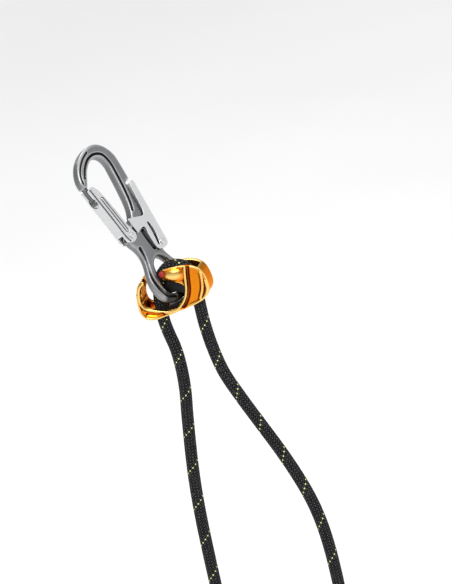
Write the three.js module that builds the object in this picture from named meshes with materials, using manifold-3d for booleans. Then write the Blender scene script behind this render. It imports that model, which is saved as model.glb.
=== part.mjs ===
// Rope adjuster on a gated snap hook, with its rope.
// Millimetres, +Z up. The origin is the top of the inside of the hook's bow, where the hook hangs.
// The hook leans away in its own plane group; the adjuster and the rope hang plumb below its eye.
import * as THREE from 'three';
import { mergeVertices } from 'three/addons/utils/BufferGeometryUtils.js';
import Module from 'manifold-3d';

const wasm = await Module();
wasm.setup();

// ---------------------------------------------------------------- driving dimensions
const DEG = Math.PI / 180;
const GAP = 0.3; // clearance between pieces that touch

const HOOK_LEAN = -27 * DEG; // lean of the hook about X
const BOW_APEX = { x: 2, z: 139 }; // top of the inside of the bow, above the bottom of the eye
const HOOK_THICK = 9.6;
const HOOK_BEVEL = 2;

const GATE_SHEET = 1.2; // folded steel sheet
const LEVER_SHEET = 0.9;
const GATE_HALF_WIDTH = HOOK_THICK / 2 + GAP + GATE_SHEET;
const LEVER_HALF_WIDTH = GATE_HALF_WIDTH + GAP + LEVER_SHEET;
const GATE_PIVOT = { x: -6.3, z: 64.7 };
const LEVER_PIVOT = { x: 18.6, z: 47.6 };
const RIVET_RADIUS = 1.8;
const RIVET_HEAD_RADIUS = 2.5;
const RIVET_HEAD_THICK = 0.7;
const RIVET_HEAD_FLAT = 0.7; // share of the head's radius that is flat
const RIVET_HOLE_RADIUS = RIVET_RADIUS + GAP;
const SPRING_WIRE = 0.8;
const SPRING_COIL_RADIUS = 2.7;
const SPRING_SLOT_HALF = 2.6;
const SPRING_SLOT_RADIUS = SPRING_COIL_RADIUS + SPRING_WIRE / 2 + GAP;
const SPRING_TURNS = 4;
const SPRING_COIL_GAP = 0.15;
const SPRING_LEG_SHARE = 0.1; // share of the wire's length in each leg
const GATE_SPRING = { startAngle: 150 * DEG, leg: 2 };
const LEVER_SPRING = { startAngle: 0, leg: 3 };

const EYE_BAR = { x: 10.5, z: 4.5 }; // middle of the adjuster, on the eye's bar
const ADJUSTER_TWIST = -58 * DEG; // turn of the adjuster about the vertical
const ADJUSTER_THICK = 18;
const ADJUSTER_BEVEL = 1.5;
const CHANNEL_HALF = 6; // rope channel between the two plates
const CHANNEL = { left: -28.5, right: 25.5, reach: 40 }; // its two ends, and more than its height either way

const ROPE_DIAMETER = 11;
const ROPE_SIDES = 10;
const TAIL_TOP = -16.5; // where the rope's two falls leave the adjuster
const LEAD_TOP = -8;

const metal = (color, roughness) => new THREE.MeshStandardMaterial({ color, roughness, metalness: 0.9 });
const plain = (color, roughness) => new THREE.MeshStandardMaterial({ color, roughness, metalness: 0 });

const MATERIALS = {
  hookAlloy: metal(0x85878a, 0.42),
  sheetSteel: metal(0xd9dadb, 0.28),
  springSteel: metal(0xc4c5c7, 0.35),
  adjusterAlloy: metal(0xe07f0a, 0.3),
  camAlloy: metal(0x1b1c1e, 0.45),
  ropeSheath: plain(0x17181a, 0.85),
  sleeveFilm: plain(0x202124, 0.6),
  thimblePlastic: plain(0x3a3b3d, 0.5),
  keeperPlastic: plain(0xb3161b, 0.4),
};

// ---------------------------------------------------------------- helpers
function solidOf(geometry) {
  const bare = geometry.clone();
  bare.deleteAttribute('normal');
  bare.deleteAttribute('uv');
  const merged = mergeVertices(bare, 1e-4);
  const vertProperties = new Float32Array(merged.attributes.position.array);
  const triVerts = new Uint32Array(merged.index.array);
  return new wasm.Manifold(new wasm.Mesh({ numProp: 3, vertProperties, triVerts }));
}

function geometryOf(solid) {
  const mesh = solid.getMesh();
  const geometry = new THREE.BufferGeometry();
  geometry.setAttribute('position', new THREE.BufferAttribute(new Float32Array(mesh.vertProperties), 3));
  geometry.setIndex(new THREE.BufferAttribute(new Uint32Array(mesh.triVerts), 1));
  geometry.computeVertexNormals();
  return geometry;
}

function cut(base, ...tools) {
  return geometryOf(tools.reduce((solid, tool) => solid.subtract(solidOf(tool)), solidOf(base)));
}

function join(base, ...others) {
  return geometryOf(others.reduce((solid, other) => solid.add(solidOf(other)), solidOf(base)));
}

// A closed outline through points [x, z]; a point with a third value is a sharp corner.
function smoothOutline(points, segments = 4) {
  const outline = [];
  const count = points.length;
  for (let i = 0; i < count; i += 1) {
    const here = points[i];
    const next = points[(i + 1) % count];
    const before = here[2] ? here : points[(i + count - 1) % count];
    const after = next[2] ? next : points[(i + 2) % count];
    const span = new THREE.CatmullRomCurve3(
      [before, here, next, after].map(([x, z]) => new THREE.Vector3(x, z, 0)),
      false,
      'catmullrom',
      0.5,
    );
    const straight = here[2] && next[2];
    const steps = straight ? 1 : segments;
    for (let step = 0; step < steps; step += 1) {
      const local = straight ? new THREE.Vector2(here[0], here[1]) : span.getPoint((1 + step / steps) / 3);
      outline.push(new THREE.Vector2(local.x, local.y));
    }
  }
  return outline;
}

// A flat piece: the outline in X and Z, extruded along Y and centred on it.
function slab(outline, thick, bevel = 0, holes = [], bevelSegments = 2) {
  const shape = new THREE.Shape(outline);
  for (const hole of holes) {
    shape.holes.push(new THREE.Path(hole));
  }
  const geometry = new THREE.ExtrudeGeometry(shape, {
    depth: thick - 2 * bevel,
    bevelEnabled: bevel > 0,
    bevelThickness: bevel,
    bevelSize: bevel,
    bevelOffset: -bevel,
    bevelSegments,
    curveSegments: 6,
  });
  geometry.translate(0, 0, bevel - thick / 2);
  geometry.rotateX(Math.PI / 2);
  return geometry;
}

function box(x0, x1, y0, y1, z0, z1) {
  const geometry = new THREE.BoxGeometry(x1 - x0, y1 - y0, z1 - z0);
  geometry.translate((x0 + x1) / 2, (y0 + y1) / 2, (z0 + z1) / 2);
  return geometry;
}

// A cylinder along Y.
function pinBlank(x, z, radius, length, sides = 16) {
  const geometry = new THREE.CylinderGeometry(radius, radius, length, sides);
  geometry.translate(x, 0, z);
  return geometry;
}

// A tube of constant section along a curve, closed at both ends.
function tube(curve, radius, steps, sides) {
  const section = [];
  for (let i = 0; i < sides; i += 1) {
    const angle = (2 * Math.PI * i) / sides;
    section.push(new THREE.Vector2(radius * Math.cos(angle), radius * Math.sin(angle)));
  }
  const shape = new THREE.Shape(section);
  return new THREE.ExtrudeGeometry(shape, { steps, extrudePath: curve, bevelEnabled: false });
}

function node(name, geometry, material) {
  const mesh = new THREE.Mesh(geometry, material);
  mesh.name = name;
  return mesh;
}

// ---------------------------------------------------------------- hook body
// Outlines in the hook's own plane: x across towards the spine, z up from the bottom of the eye.
const BODY_OUTLINE = [
  [-25.2, 119.3, 1],
  [-25.4, 125],
  [-23.6, 132],
  [-19, 139.4],
  [-12, 145.4],
  [-3.6, 149.2],
  [4.5, 150.4],
  [11.5, 148.6],
  [17.3, 143.6],
  [21.4, 136.8],
  [23.2, 129],
  [23.6, 108.8, 1],
  [18.2, 107.6, 1],
  [18, 90],
  [18, 60],
  [20.4, 53],
  [22.4, 49.6],
  [21.6, 44],
  [18.8, 40.8],
  [22, 33],
  [25.4, 26],
  [26.6, 16],
  [24.2, 5.6],
  [17.6, -2],
  [8, -4.6],
  [-2.2, -2.2],
  [-9.2, 5],
  [-11.6, 15],
  [-10.4, 25],
  [-7.2, 34],
  [-5.6, 43],
  [-6.8, 51],
  [-9.8, 57],
  [-10.6, 63.2],
  [-7.6, 68.6],
  [-3.2, 70.2],
  [0.6, 73],
  [5.4, 80],
  [8.6, 89],
  [10.2, 104],
  [10.9, 118],
  [11, 129],
  [8, 136.2],
  [2, 139],
  [-4.4, 137.8],
  [-11.4, 132.4],
  [-16.6, 125],
  [-20.2, 119.3, 1],
];
const EYE_OPENING = [
  [8, 37.6],
  [2, 33],
  [0, 25],
  [-1.6, 15],
  [0.4, 7],
  [7.6, 2.4],
  [14.8, 6],
  [18, 15],
  [17.4, 25],
  [13.8, 33.4],
];
const NOSE_KNOB = { x: -18.9, z: 104.4, radius: 2.5, halfWidth: 3.6 };
const NOSE_TONGUE = [
  [-24.6, 121, 1],
  [-22.6, 114],
  [-20.6, 104.6, 1],
  [-17.2, 104.6, 1],
  [-18.8, 112],
  [-20.4, 121, 1],
];
const NOSE_HALF_WIDTH = 2.5;

// Room for a spring's coil round its pivot, and for its legs: x from, x to, z from, z to, off the pivot.
const GATE_LEG_ROOM = [-8, 0, -3.4, 6];
const LEVER_LEG_ROOM = [1, 8, -5, 9];

function springRoom({ x, z }, [x0, x1, z0, z1]) {
  return join(
    pinBlank(x, z, SPRING_SLOT_RADIUS, 2 * SPRING_SLOT_HALF),
    box(x + x0, x + x1, -SPRING_SLOT_HALF, SPRING_SLOT_HALF, z + z0, z + z1),
  );
}

const rivetHole = ({ x, z }) => pinBlank(x, z, RIVET_HOLE_RADIUS, 4 * HOOK_THICK);

function hookBody() {
  const plate = slab(smoothOutline(BODY_OUTLINE), HOOK_THICK, HOOK_BEVEL, [smoothOutline(EYE_OPENING)]);
  const nose = join(
    slab(smoothOutline(NOSE_TONGUE), 2 * NOSE_HALF_WIDTH),
    pinBlank(NOSE_KNOB.x, NOSE_KNOB.z, NOSE_KNOB.radius, 2 * NOSE_KNOB.halfWidth),
  );
  return cut(
    join(plate, nose),
    springRoom(GATE_PIVOT, GATE_LEG_ROOM),
    springRoom(LEVER_PIVOT, LEVER_LEG_ROOM),
    rivetHole(GATE_PIVOT),
    rivetHole(LEVER_PIVOT),
  );
}

// ---------------------------------------------------------------- gate
// A folded channel, open towards the spine.
const GATE_OUTER_EDGE = [
  [-23, 117.2],
  [-20.4, 103],
  [-17.8, 90],
  [-15.4, 77],
  [-13.6, 66],
];
const GATE_OUTLINE = [
  [-23, 116.6, 1],
  ...GATE_OUTER_EDGE.slice(1),
  [-12.4, 61.2],
  [-8, 58.6],
  [-2.8, 60.4],
  [-1, 64.8],
  [-2.6, 69.8],
  [-4.9, 77],
  [-7.6, 90],
  [-10.8, 103],
  [-13.6, 112.4],
  [-17, 117.4],
  [-20, 118.2],
];
// The rest of the channel's room, beyond the gate on its other sides.
const GATE_OPEN_SIDE = [
  [-9.6, 50],
  [30, 50],
  [30, 130],
  [-24.2, 130],
];
const KEYHOLE = { x: -20, radius: 4.8, depth: 12 }; // for the nose knob, in the folded edge
const NOSE_SLOT = { left: -30, right: -17.6, halfWidth: 3, top: 130 }; // above the keyhole, for the tongue
const FOOT_NOTCH = { left: -16, right: -9.4, halfWidth: 3.6, bottom: 55, top: 67.4 };

function gate() {
  const innerEdge = GATE_OUTER_EDGE.map(([x, z]) => [x + GATE_SHEET, z]);
  const channel = [...innerEdge, ...GATE_OPEN_SIDE].map(([x, z]) => new THREE.Vector2(x, z));
  const keyhole = new THREE.CylinderGeometry(KEYHOLE.radius, KEYHOLE.radius, KEYHOLE.depth, 16);
  keyhole.rotateZ(Math.PI / 2);
  keyhole.translate(KEYHOLE.x, 0, NOSE_KNOB.z);
  const { halfWidth: slotHalf } = NOSE_SLOT;
  const { halfWidth: notchHalf } = FOOT_NOTCH;
  return cut(
    slab(smoothOutline(GATE_OUTLINE), 2 * GATE_HALF_WIDTH),
    slab(channel, 2 * (GATE_HALF_WIDTH - GATE_SHEET)),
    keyhole,
    box(NOSE_SLOT.left, NOSE_SLOT.right, -slotHalf, slotHalf, NOSE_KNOB.z, NOSE_SLOT.top),
    box(FOOT_NOTCH.left, FOOT_NOTCH.right, -notchHalf, notchHalf, FOOT_NOTCH.bottom, FOOT_NOTCH.top),
    rivetHole(GATE_PIVOT),
  );
}

// ---------------------------------------------------------------- lock lever
// A folded channel over the spine, closed at its back.
const LEVER_BACK = 24.2;
const LEVER_CHANNEL = { left: -30, bottom: 20, top: 130 }; // beyond the lever on its open sides
const LEVER_OUTLINE = [
  [22.6, 106.9],
  [19.4, 105.6],
  [18.2, 99],
  [17.6, 88],
  [16.9, 79],
  [14.4, 75.2],
  [6, 77],
  [-2.2, 78.6, 1],
  [0.4, 63.2, 1],
  [5, 65.6],
  [9.8, 65.6],
  [9.6, 58],
  [9.8, 50],
  [11, 44.4],
  [14, 41.8],
  [18, 41.4],
  [22.4, 42.6],
  [LEVER_BACK, 46, 1],
  [LEVER_BACK, 104.6, 1],
];
const LEVER_SLOT = [
  [15.8, 68.4],
  [17.2, 62],
  [16.9, 54],
  [15.2, 46.4],
  [13.6, 46.4],
  [14.2, 54],
  [14.6, 61],
  [14.4, 67.4],
];

function lockLever() {
  const { left, bottom, top } = LEVER_CHANNEL;
  const inside = LEVER_HALF_WIDTH - LEVER_SHEET;
  return cut(
    slab(smoothOutline(LEVER_OUTLINE), 2 * LEVER_HALF_WIDTH, 0, [smoothOutline(LEVER_SLOT, 2)]),
    box(left, LEVER_BACK - LEVER_SHEET, -inside, inside, bottom, top),
    rivetHole(LEVER_PIVOT),
  );
}

// ---------------------------------------------------------------- rivets and springs
function rivet(pivot, sheetHalfWidth) {
  const inner = sheetHalfWidth + GAP;
  const outer = inner + RIVET_HEAD_THICK;
  const profile = [
    [0, -outer],
    [RIVET_HEAD_RADIUS * RIVET_HEAD_FLAT, -outer],
    [RIVET_HEAD_RADIUS, -inner - RIVET_HEAD_THICK / 2],
    [RIVET_HEAD_RADIUS, -inner],
    [RIVET_RADIUS, -inner],
    [RIVET_RADIUS, inner],
    [RIVET_HEAD_RADIUS, inner],
    [RIVET_HEAD_RADIUS, inner + RIVET_HEAD_THICK / 2],
    [RIVET_HEAD_RADIUS * RIVET_HEAD_FLAT, outer],
    [0, outer],
  ].map(([r, y]) => new THREE.Vector2(r, y));
  const geometry = new THREE.LatheGeometry(profile, 16);
  geometry.translate(pivot.x, 0, pivot.z);
  return geometry;
}

// Torsion spring round a rivet, with one leg at each end of the coil.
class TorsionSpring extends THREE.Curve {
  constructor(pivot, { startAngle, leg }) {
    super();
    Object.assign(this, { pivot, startAngle, leg });
  }

  getPoint(t, target = new THREE.Vector3()) {
    const share = SPRING_LEG_SHARE;
    const along = THREE.MathUtils.clamp((t - share) / (1 - 2 * share), 0, 1);
    const angle = this.startAngle + 2 * Math.PI * SPRING_TURNS * along;
    const pitch = SPRING_WIRE + SPRING_COIL_GAP;
    const beyond = Math.max(0, share - t, t - 1 + share) / share;
    const side = t < share ? -1 : 1;
    const x = SPRING_COIL_RADIUS * Math.cos(angle) - side * this.leg * beyond * Math.sin(angle);
    const z = SPRING_COIL_RADIUS * Math.sin(angle) + side * this.leg * beyond * Math.cos(angle);
    return target.set(this.pivot.x + x, pitch * SPRING_TURNS * (along - 0.5), this.pivot.z + z);
  }
}

const spring = (pivot, form) => tube(new TorsionSpring(pivot, form), SPRING_WIRE / 2, 20 * SPRING_TURNS, 6);

// ---------------------------------------------------------------- adjuster body
// Outlines in the adjuster's own plane, from the middle of the eye's bar.
const ADJUSTER_OUTLINE = [
  [-33.8, -6],
  [-32.6, 5],
  [-29.4, 11.6],
  [-24, 16.6],
  [-15, 20.4],
  [-7, 22.8],
  [8, 25],
  [20, 24.6],
  [28.4, 19.6],
  [32.2, 10],
  [32.6, 0.4],
  [28.6, -5.6],
  [20.8, -10.6],
  [6.7, -15.2],
  [-9, -19.6],
  [-21.6, -22.4],
  [-30, -20.6],
  [-33.2, -14.6],
];
const WINDOW = [
  [-30.2, -2],
  [-29, 4.6],
  [-25.6, 9.4],
  [-19, 12.6],
  [-9.4, 13.4],
  [1, 10.8],
  [8.4, 8.4],
  [11, 4],
  [8.8, -3],
  [4, -9.6],
  [-1.6, -13.6],
  [-9.6, -14.8],
  [-21.4, -12],
  [-28.4, -9],
];
// The way in for the eye, between the left rim and the tip of the top bar.
const MOUTH = [
  [-24.6, 7],
  [-25.6, 12],
  [-25.8, 30],
  [-7.8, 30],
  [-7.4, 20],
  [-8, 15.6],
  [-6.4, 10.6],
  [-16, 4],
];
// The back plate is cut higher where the eye's far leg passes it.
const LEG_RELIEF = [
  [-10, 6],
  [-9, 17.4],
  [0, 19.2],
  [8, 17.6],
  [13, 8],
];
const BACK_WINDOW = { stretch: 1.12, shift: 5 }; // reaches further towards the lead side
const KEEPER = { x: -6.2, z: 19.4, radius: 2, headRadius: 2.9, headThick: 1.2 };
const KEEPER_DOME = [ // shares of the head's radius and height
  [1, 0],
  [0.9, 0.7],
  [0.5, 1],
  [0, 1],
];

function adjusterBody() {
  const block = slab(smoothOutline(ADJUSTER_OUTLINE), ADJUSTER_THICK, ADJUSTER_BEVEL);
  const front = slab(smoothOutline(WINDOW), ADJUSTER_THICK);
  front.translate(0, -ADJUSTER_THICK / 2, 0);
  const back = slab(smoothOutline(WINDOW), ADJUSTER_THICK);
  back.scale(BACK_WINDOW.stretch, 1, 1);
  back.translate(BACK_WINDOW.shift, ADJUSTER_THICK / 2, 0);
  const legRelief = slab(smoothOutline(LEG_RELIEF), ADJUSTER_THICK);
  legRelief.translate(0, ADJUSTER_THICK / 2, 0);
  const mouth = slab(smoothOutline(MOUTH, 3), 2 * ADJUSTER_THICK);
  const { left, right, reach } = CHANNEL;
  const channel = box(left, right, -CHANNEL_HALF, CHANNEL_HALF, -reach, reach);
  const keeperSeat = pinBlank(KEEPER.x, KEEPER.z, KEEPER.radius + GAP, ADJUSTER_THICK);
  keeperSeat.translate(0, -ADJUSTER_THICK / 2, 0);
  return cut(block, front, back, legRelief, mouth, channel, keeperSeat);
}

// Plastic plug in the tip of the front top bar; it keeps the eye from slipping out of the mouth.
function mouthKeeper() {
  const face = ADJUSTER_THICK / 2 + GAP;
  const profile = [
    [0, CHANNEL_HALF],
    [KEEPER.radius, CHANNEL_HALF],
    [KEEPER.radius, face],
    ...KEEPER_DOME.map(([r, y]) => [KEEPER.headRadius * r, face + KEEPER.headThick * y]),
  ].map(([r, y]) => new THREE.Vector2(r, y));
  const geometry = new THREE.LatheGeometry(profile, 16);
  geometry.rotateX(Math.PI);
  geometry.translate(KEEPER.x, 0, KEEPER.z);
  return geometry;
}

// ---------------------------------------------------------------- friction cam
// It hooks round the eye's bar between the two plates and carries the rope's turn.
const CAM_OUTLINE = [
  [-8.3, 4.4],
  [-5, 11.1],
  [-0.3, 16.1],
  [4.3, 17.4],
  [8.5, 16.4],
  [11.6, 12.9],
  [12.9, 5.6],
  [12.9, -6],
  [10.4, -12.6],
  [4, -15.4],
  [-3, -17],
  [-8, -17.6],
  [-8.8, -14],
  [-3, -11],
  [3, -9.8],
  [7, -8.2],
  [9, -5],
  [7.4, -1.4],
  [2, -0.4],
  [-4, -0.2],
  [-8.6, 0.4],
];
const CAM_THICK = 11.2;
const CAM_BEVEL = 1;
const CAM_TILTS = [-2, 3, 8]; // degrees of the adjuster's tilt that the cam's slot has room for
const EYE_CENTRE = { x: 8.2, z: 18 };
const EYE_GROWTH = 1.022; // about 0.4 mm all round the eye
const OPENING_SHRINK = 0.955;
const TILT_AXIS = { x: 8, z: -1 }; // in the hook's plane, where the eye's bar carries the adjuster

function scaled(points, factor) {
  const { x: x0, z: z0 } = EYE_CENTRE;
  return points.map(([x, z, corner]) => [x0 + (x - x0) * factor, z0 + (z - z0) * factor, corner]);
}

// The room that the hook's eye needs, in the adjuster's own plane, when the adjuster is tilted.
function eyeRoom(tilt) {
  const opening = smoothOutline(scaled(EYE_OPENING, OPENING_SHRINK), 2);
  const outline = smoothOutline(scaled(BODY_OUTLINE, EYE_GROWTH), 2);
  const room = geometryOf(solidOf(slab(outline, HOOK_THICK + 2 * GAP, 0, [opening])));
  room.translate(-TILT_AXIS.x, 0, -TILT_AXIS.z);
  room.rotateX(HOOK_LEAN);
  room.rotateZ(-ADJUSTER_TWIST);
  room.rotateY(-tilt * DEG);
  const axisPlace = new THREE.Vector3(TILT_AXIS.x - EYE_BAR.x, 0, TILT_AXIS.z - EYE_BAR.z)
    .applyAxisAngle(new THREE.Vector3(1, 0, 0), HOOK_LEAN)
    .applyAxisAngle(new THREE.Vector3(0, 0, 1), -ADJUSTER_TWIST);
  room.translate(...axisPlace.toArray());
  return room;
}

function frictionCam() {
  return cut(slab(smoothOutline(CAM_OUTLINE), CAM_THICK, CAM_BEVEL), ...CAM_TILTS.map(eyeRoom));
}

// ---------------------------------------------------------------- rope
const inAdjusterPlane = ([x, z]) => new THREE.Vector3(x, 0, z);

const TURN_ROUTE = [
  [-16.2, TAIL_TOP + GAP],
  [-15.8, -6],
  [-14, 4],
  [-10, 14.2],
  [-3.4, 21.1],
  [4.2, 23.3],
  [11.6, 21.4],
  [17, 15.4],
  [18.8, 6],
  [18.8, LEAD_TOP + GAP],
];
const TAIL_ROUTE = [
  [-16.3, TAIL_TOP],
  [-16.4, -26],
  [-14.8, -38],
  [-11.6, -54],
  [-10.4, -72],
  [-11.2, -94],
  [-14.2, -117],
  [-17, -140],
  [-19.6, -164],
  [-21.6, -190],
  [-22.8, -220],
  [-23.2, -255],
  [-23.2, -290],
];
const LEAD_ROUTE = [
  [18.8, LEAD_TOP],
  [18.8, -20],
  [19.2, -34],
  [21.8, -58],
  [27, -82],
  [37.6, -108],
  [50, -135],
  [62.4, -162],
  [72.8, -188],
  [80.4, -212],
  [85, -236],
  [87.2, -260],
  [88, -285],
  [88, -310],
  [88, -332],
];

const ropeTube = (curve, steps) => tube(curve, ROPE_DIAMETER / 2, steps, ROPE_SIDES);
const route = (points) => new THREE.CatmullRomCurve3(points.map(inAdjusterPlane), false, 'centripetal');

// ---------------------------------------------------------------- rope ends
const SLEEVE = { width: 24, thick: 13.5, bevel: 1.5 }; // over two rope falls, sewn together
const TAIL_SLEEVE_LENGTH = 46;
const LEAD_SLEEVE_LENGTH = 54;
// The sewn eye's centreline below its sleeve: its loop, and the two falls that part above it.
const EYE_LOOP = { radius: 17.5, drop: 42, sweep: 210 * DEG, arcSteps: 12 };
const EYE_FALLS = { halfGap: 0.4, flare: 0.8, straight: 4, end: 10 };
const THIMBLE = { thick: 9, inner: 8.4, bevel: 1 };

// A rounded sleeve with its top at the given point of the adjuster's plane.
function sleeve([x, z], length) {
  const { bevel } = SLEEVE;
  const half = SLEEVE.thick / 2;
  const shape = new THREE.Shape();
  shape.absarc(SLEEVE.width / 2 - half, 0, half, -Math.PI / 2, Math.PI / 2);
  shape.absarc(half - SLEEVE.width / 2, 0, half, Math.PI / 2, 1.5 * Math.PI);
  const geometry = new THREE.ExtrudeGeometry(shape, {
    depth: length - 2 * bevel,
    bevelThickness: bevel,
    bevelSize: bevel,
    bevelOffset: -bevel,
    bevelSegments: 1,
    curveSegments: 8,
  });
  geometry.translate(x, 0, z - length + bevel);
  return geometry;
}

// The sewn eye: two falls that leave the sleeve side by side and part round the thimble.
function eyeRoute([x, z]) {
  const { radius, drop, sweep, arcSteps } = EYE_LOOP;
  const { halfGap, flare, straight, end } = EYE_FALLS;
  const fall = ROPE_DIAMETER / 2 + halfGap;
  const loop = [];
  for (let i = 0; i <= arcSteps; i += 1) {
    const angle = -sweep / 2 + (sweep * i) / arcSteps;
    loop.push([radius * Math.sin(angle), -drop - radius * Math.cos(angle)]);
  }
  const points = [
    [-fall, 0],
    [-fall, -straight],
    [-fall - flare, -end],
    ...loop,
    [fall + flare, -end],
    [fall, -straight],
    [fall, 0],
  ];
  return points.map(([dx, dz]) => [x + dx, z + dz]);
}

function thimble([x, z]) {
  const { bevel } = THIMBLE;
  const outer = EYE_LOOP.radius - ROPE_DIAMETER / 2 - GAP;
  const shape = new THREE.Shape();
  shape.absarc(0, 0, outer, 0, 2 * Math.PI);
  const hole = new THREE.Path();
  hole.absarc(0, 0, THIMBLE.inner, 0, 2 * Math.PI);
  shape.holes.push(hole);
  const geometry = new THREE.ExtrudeGeometry(shape, {
    depth: THIMBLE.thick - 2 * bevel,
    bevelThickness: bevel,
    bevelSize: bevel,
    bevelOffset: -bevel,
    bevelSegments: 1,
    curveSegments: 10,
  });
  geometry.translate(0, 0, bevel - THIMBLE.thick / 2);
  geometry.rotateX(Math.PI / 2);
  geometry.translate(x, 0, z - EYE_LOOP.drop);
  return geometry;
}

const below = ([x, z], distance) => [x, z - distance];
const TAIL_SLEEVE_TOP = below(TAIL_ROUTE.at(-1), GAP);
const LEAD_SLEEVE_TOP = below(LEAD_ROUTE.at(-1), GAP);
const EYE_TOP = below(LEAD_SLEEVE_TOP, LEAD_SLEEVE_LENGTH + GAP);

// ---------------------------------------------------------------- assembly
const hookPlane = new THREE.Group();
hookPlane.rotation.x = HOOK_LEAN;
const hook = new THREE.Group();
hook.position.set(-BOW_APEX.x, 0, -BOW_APEX.z);
hookPlane.add(hook);
hook.add(
  node('hook_body', hookBody(), MATERIALS.hookAlloy),
  node('gate', gate(), MATERIALS.sheetSteel),
  node('gate_rivet', rivet(GATE_PIVOT, GATE_HALF_WIDTH), MATERIALS.sheetSteel),
  node('gate_spring', spring(GATE_PIVOT, GATE_SPRING), MATERIALS.springSteel),
  node('lock_lever', lockLever(), MATERIALS.sheetSteel),
  node('lever_rivet', rivet(LEVER_PIVOT, LEVER_HALF_WIDTH), MATERIALS.sheetSteel),
  node('lever_spring', spring(LEVER_PIVOT, LEVER_SPRING), MATERIALS.springSteel),
);

const adjuster = new THREE.Group();
adjuster.position
  .set(EYE_BAR.x - BOW_APEX.x, 0, EYE_BAR.z - BOW_APEX.z)
  .applyAxisAngle(new THREE.Vector3(1, 0, 0), HOOK_LEAN);
adjuster.rotation.z = ADJUSTER_TWIST;
adjuster.add(
  node('adjuster_body', adjusterBody(), MATERIALS.adjusterAlloy),
  node('rope_turn', ropeTube(route(TURN_ROUTE), 28), MATERIALS.ropeSheath),
  node('rope_tail', ropeTube(route(TAIL_ROUTE), 20), MATERIALS.ropeSheath),
  node('rope_lead', ropeTube(route(LEAD_ROUTE), 26), MATERIALS.ropeSheath),
  node('friction_cam', frictionCam(), MATERIALS.camAlloy),
  node('mouth_keeper', mouthKeeper(), MATERIALS.keeperPlastic),
  node('tail_sleeve', sleeve(TAIL_SLEEVE_TOP, TAIL_SLEEVE_LENGTH), MATERIALS.sleeveFilm),
  node('lead_sleeve', sleeve(LEAD_SLEEVE_TOP, LEAD_SLEEVE_LENGTH), MATERIALS.sleeveFilm),
  node('lead_eye', ropeTube(route(eyeRoute(EYE_TOP)), 40), MATERIALS.ropeSheath),
  node('eye_thimble', thimble(EYE_TOP), MATERIALS.thimblePlastic),
);

const part = new THREE.Group();
part.add(hookPlane, adjuster);
export default part;
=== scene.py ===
"""The looks of a rope adjuster on a gated snap hook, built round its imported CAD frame. Metres, +Z up."""

import math

import bmesh
import bpy
import numpy as np
from mathutils import Matrix, Vector


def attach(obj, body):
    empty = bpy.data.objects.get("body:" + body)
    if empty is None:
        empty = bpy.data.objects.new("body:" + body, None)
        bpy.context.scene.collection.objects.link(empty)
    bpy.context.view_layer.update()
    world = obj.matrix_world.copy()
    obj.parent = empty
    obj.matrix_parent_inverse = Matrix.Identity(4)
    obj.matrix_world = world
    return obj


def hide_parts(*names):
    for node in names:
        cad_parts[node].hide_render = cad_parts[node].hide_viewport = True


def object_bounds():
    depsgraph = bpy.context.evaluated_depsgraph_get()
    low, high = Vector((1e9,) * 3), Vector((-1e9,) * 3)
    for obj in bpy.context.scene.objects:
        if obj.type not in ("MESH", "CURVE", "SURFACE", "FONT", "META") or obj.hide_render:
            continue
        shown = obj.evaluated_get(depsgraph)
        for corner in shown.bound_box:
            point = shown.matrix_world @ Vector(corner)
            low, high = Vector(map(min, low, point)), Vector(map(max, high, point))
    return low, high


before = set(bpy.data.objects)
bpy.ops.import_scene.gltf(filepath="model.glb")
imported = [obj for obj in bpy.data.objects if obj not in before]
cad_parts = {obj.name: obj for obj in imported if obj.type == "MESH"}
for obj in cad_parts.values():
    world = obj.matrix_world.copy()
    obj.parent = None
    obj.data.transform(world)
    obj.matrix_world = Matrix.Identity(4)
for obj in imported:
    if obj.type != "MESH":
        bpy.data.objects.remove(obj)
cad_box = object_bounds()

# ---------------------------------------------------------------- driving dimensions, in millimetres
MM = 0.001
HOOK_LEAN = math.radians(-27)
BOW_APEX = (2, 139)
HOOK_HALF = 4.8
GATE_HALF = 6.3
GATE_SHEET = 1.2
LEVER_HALF = 7.5
LEVER_SHEET = 0.9
GATE_PIVOT = (-6.3, 64.7)
LEVER_PIVOT = (18.6, 47.6)
RIVET_RADIUS = 1.8
RIVET_HEAD_RADIUS = 2.5
RIVET_HEAD_THICK = 0.7
HOLE_RADIUS = 2.1
GAP = 0.3
SPRING_WIRE = 0.8
SPRING_RADIUS = 2.7
SPRING_TURNS = 4
SPRING_SLOT_HALF = 2.6
SPRING_SLOT_RADIUS = 3.4
NOSE_KNOB = (-18.9, 104.4)
NOSE_KNOB_RADIUS = 2.5
NOSE_KNOB_HALF = 3.6
NOSE_HALF = 2.5

EYE_BAR = (10.5, 4.5)
ADJUSTER_TWIST = math.radians(-58)
ADJUSTER_HALF = 9
CHANNEL_HALF = 6
KEEPER = (-6.2, 19.4)

ROPE_DIAMETER = 11
SLEEVE_WIDTH = 24
SLEEVE_THICK = 13.5
TAIL_SLEEVE_LENGTH = 46
LEAD_SLEEVE_LENGTH = 54
EYE_RADIUS = 17.5
EYE_DROP = 42
THIMBLE_THICK = 9
THIMBLE_INNER = 8.4

FINE = 0.36  # grid step of the metal surfaces
SHEET_STEP = 0.27  # and of the folded sheets
SHEET_REACH = 0.27  # how far round a point of a sheet its relief is measured

SCALE = Matrix.Diagonal((MM, MM, MM, 1))
LEAN = Matrix.Rotation(HOOK_LEAN, 4, "X")
HOOK_PLANE = SCALE @ LEAN @ Matrix.Translation((-BOW_APEX[0], 0, -BOW_APEX[1]))
BAR_CENTRE = LEAN @ Vector((EYE_BAR[0] - BOW_APEX[0], 0, EYE_BAR[1] - BOW_APEX[1]))
ADJUSTER_PLANE = SCALE @ Matrix.Translation(BAR_CENTRE) @ Matrix.Rotation(ADJUSTER_TWIST, 4, "Z")

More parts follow.
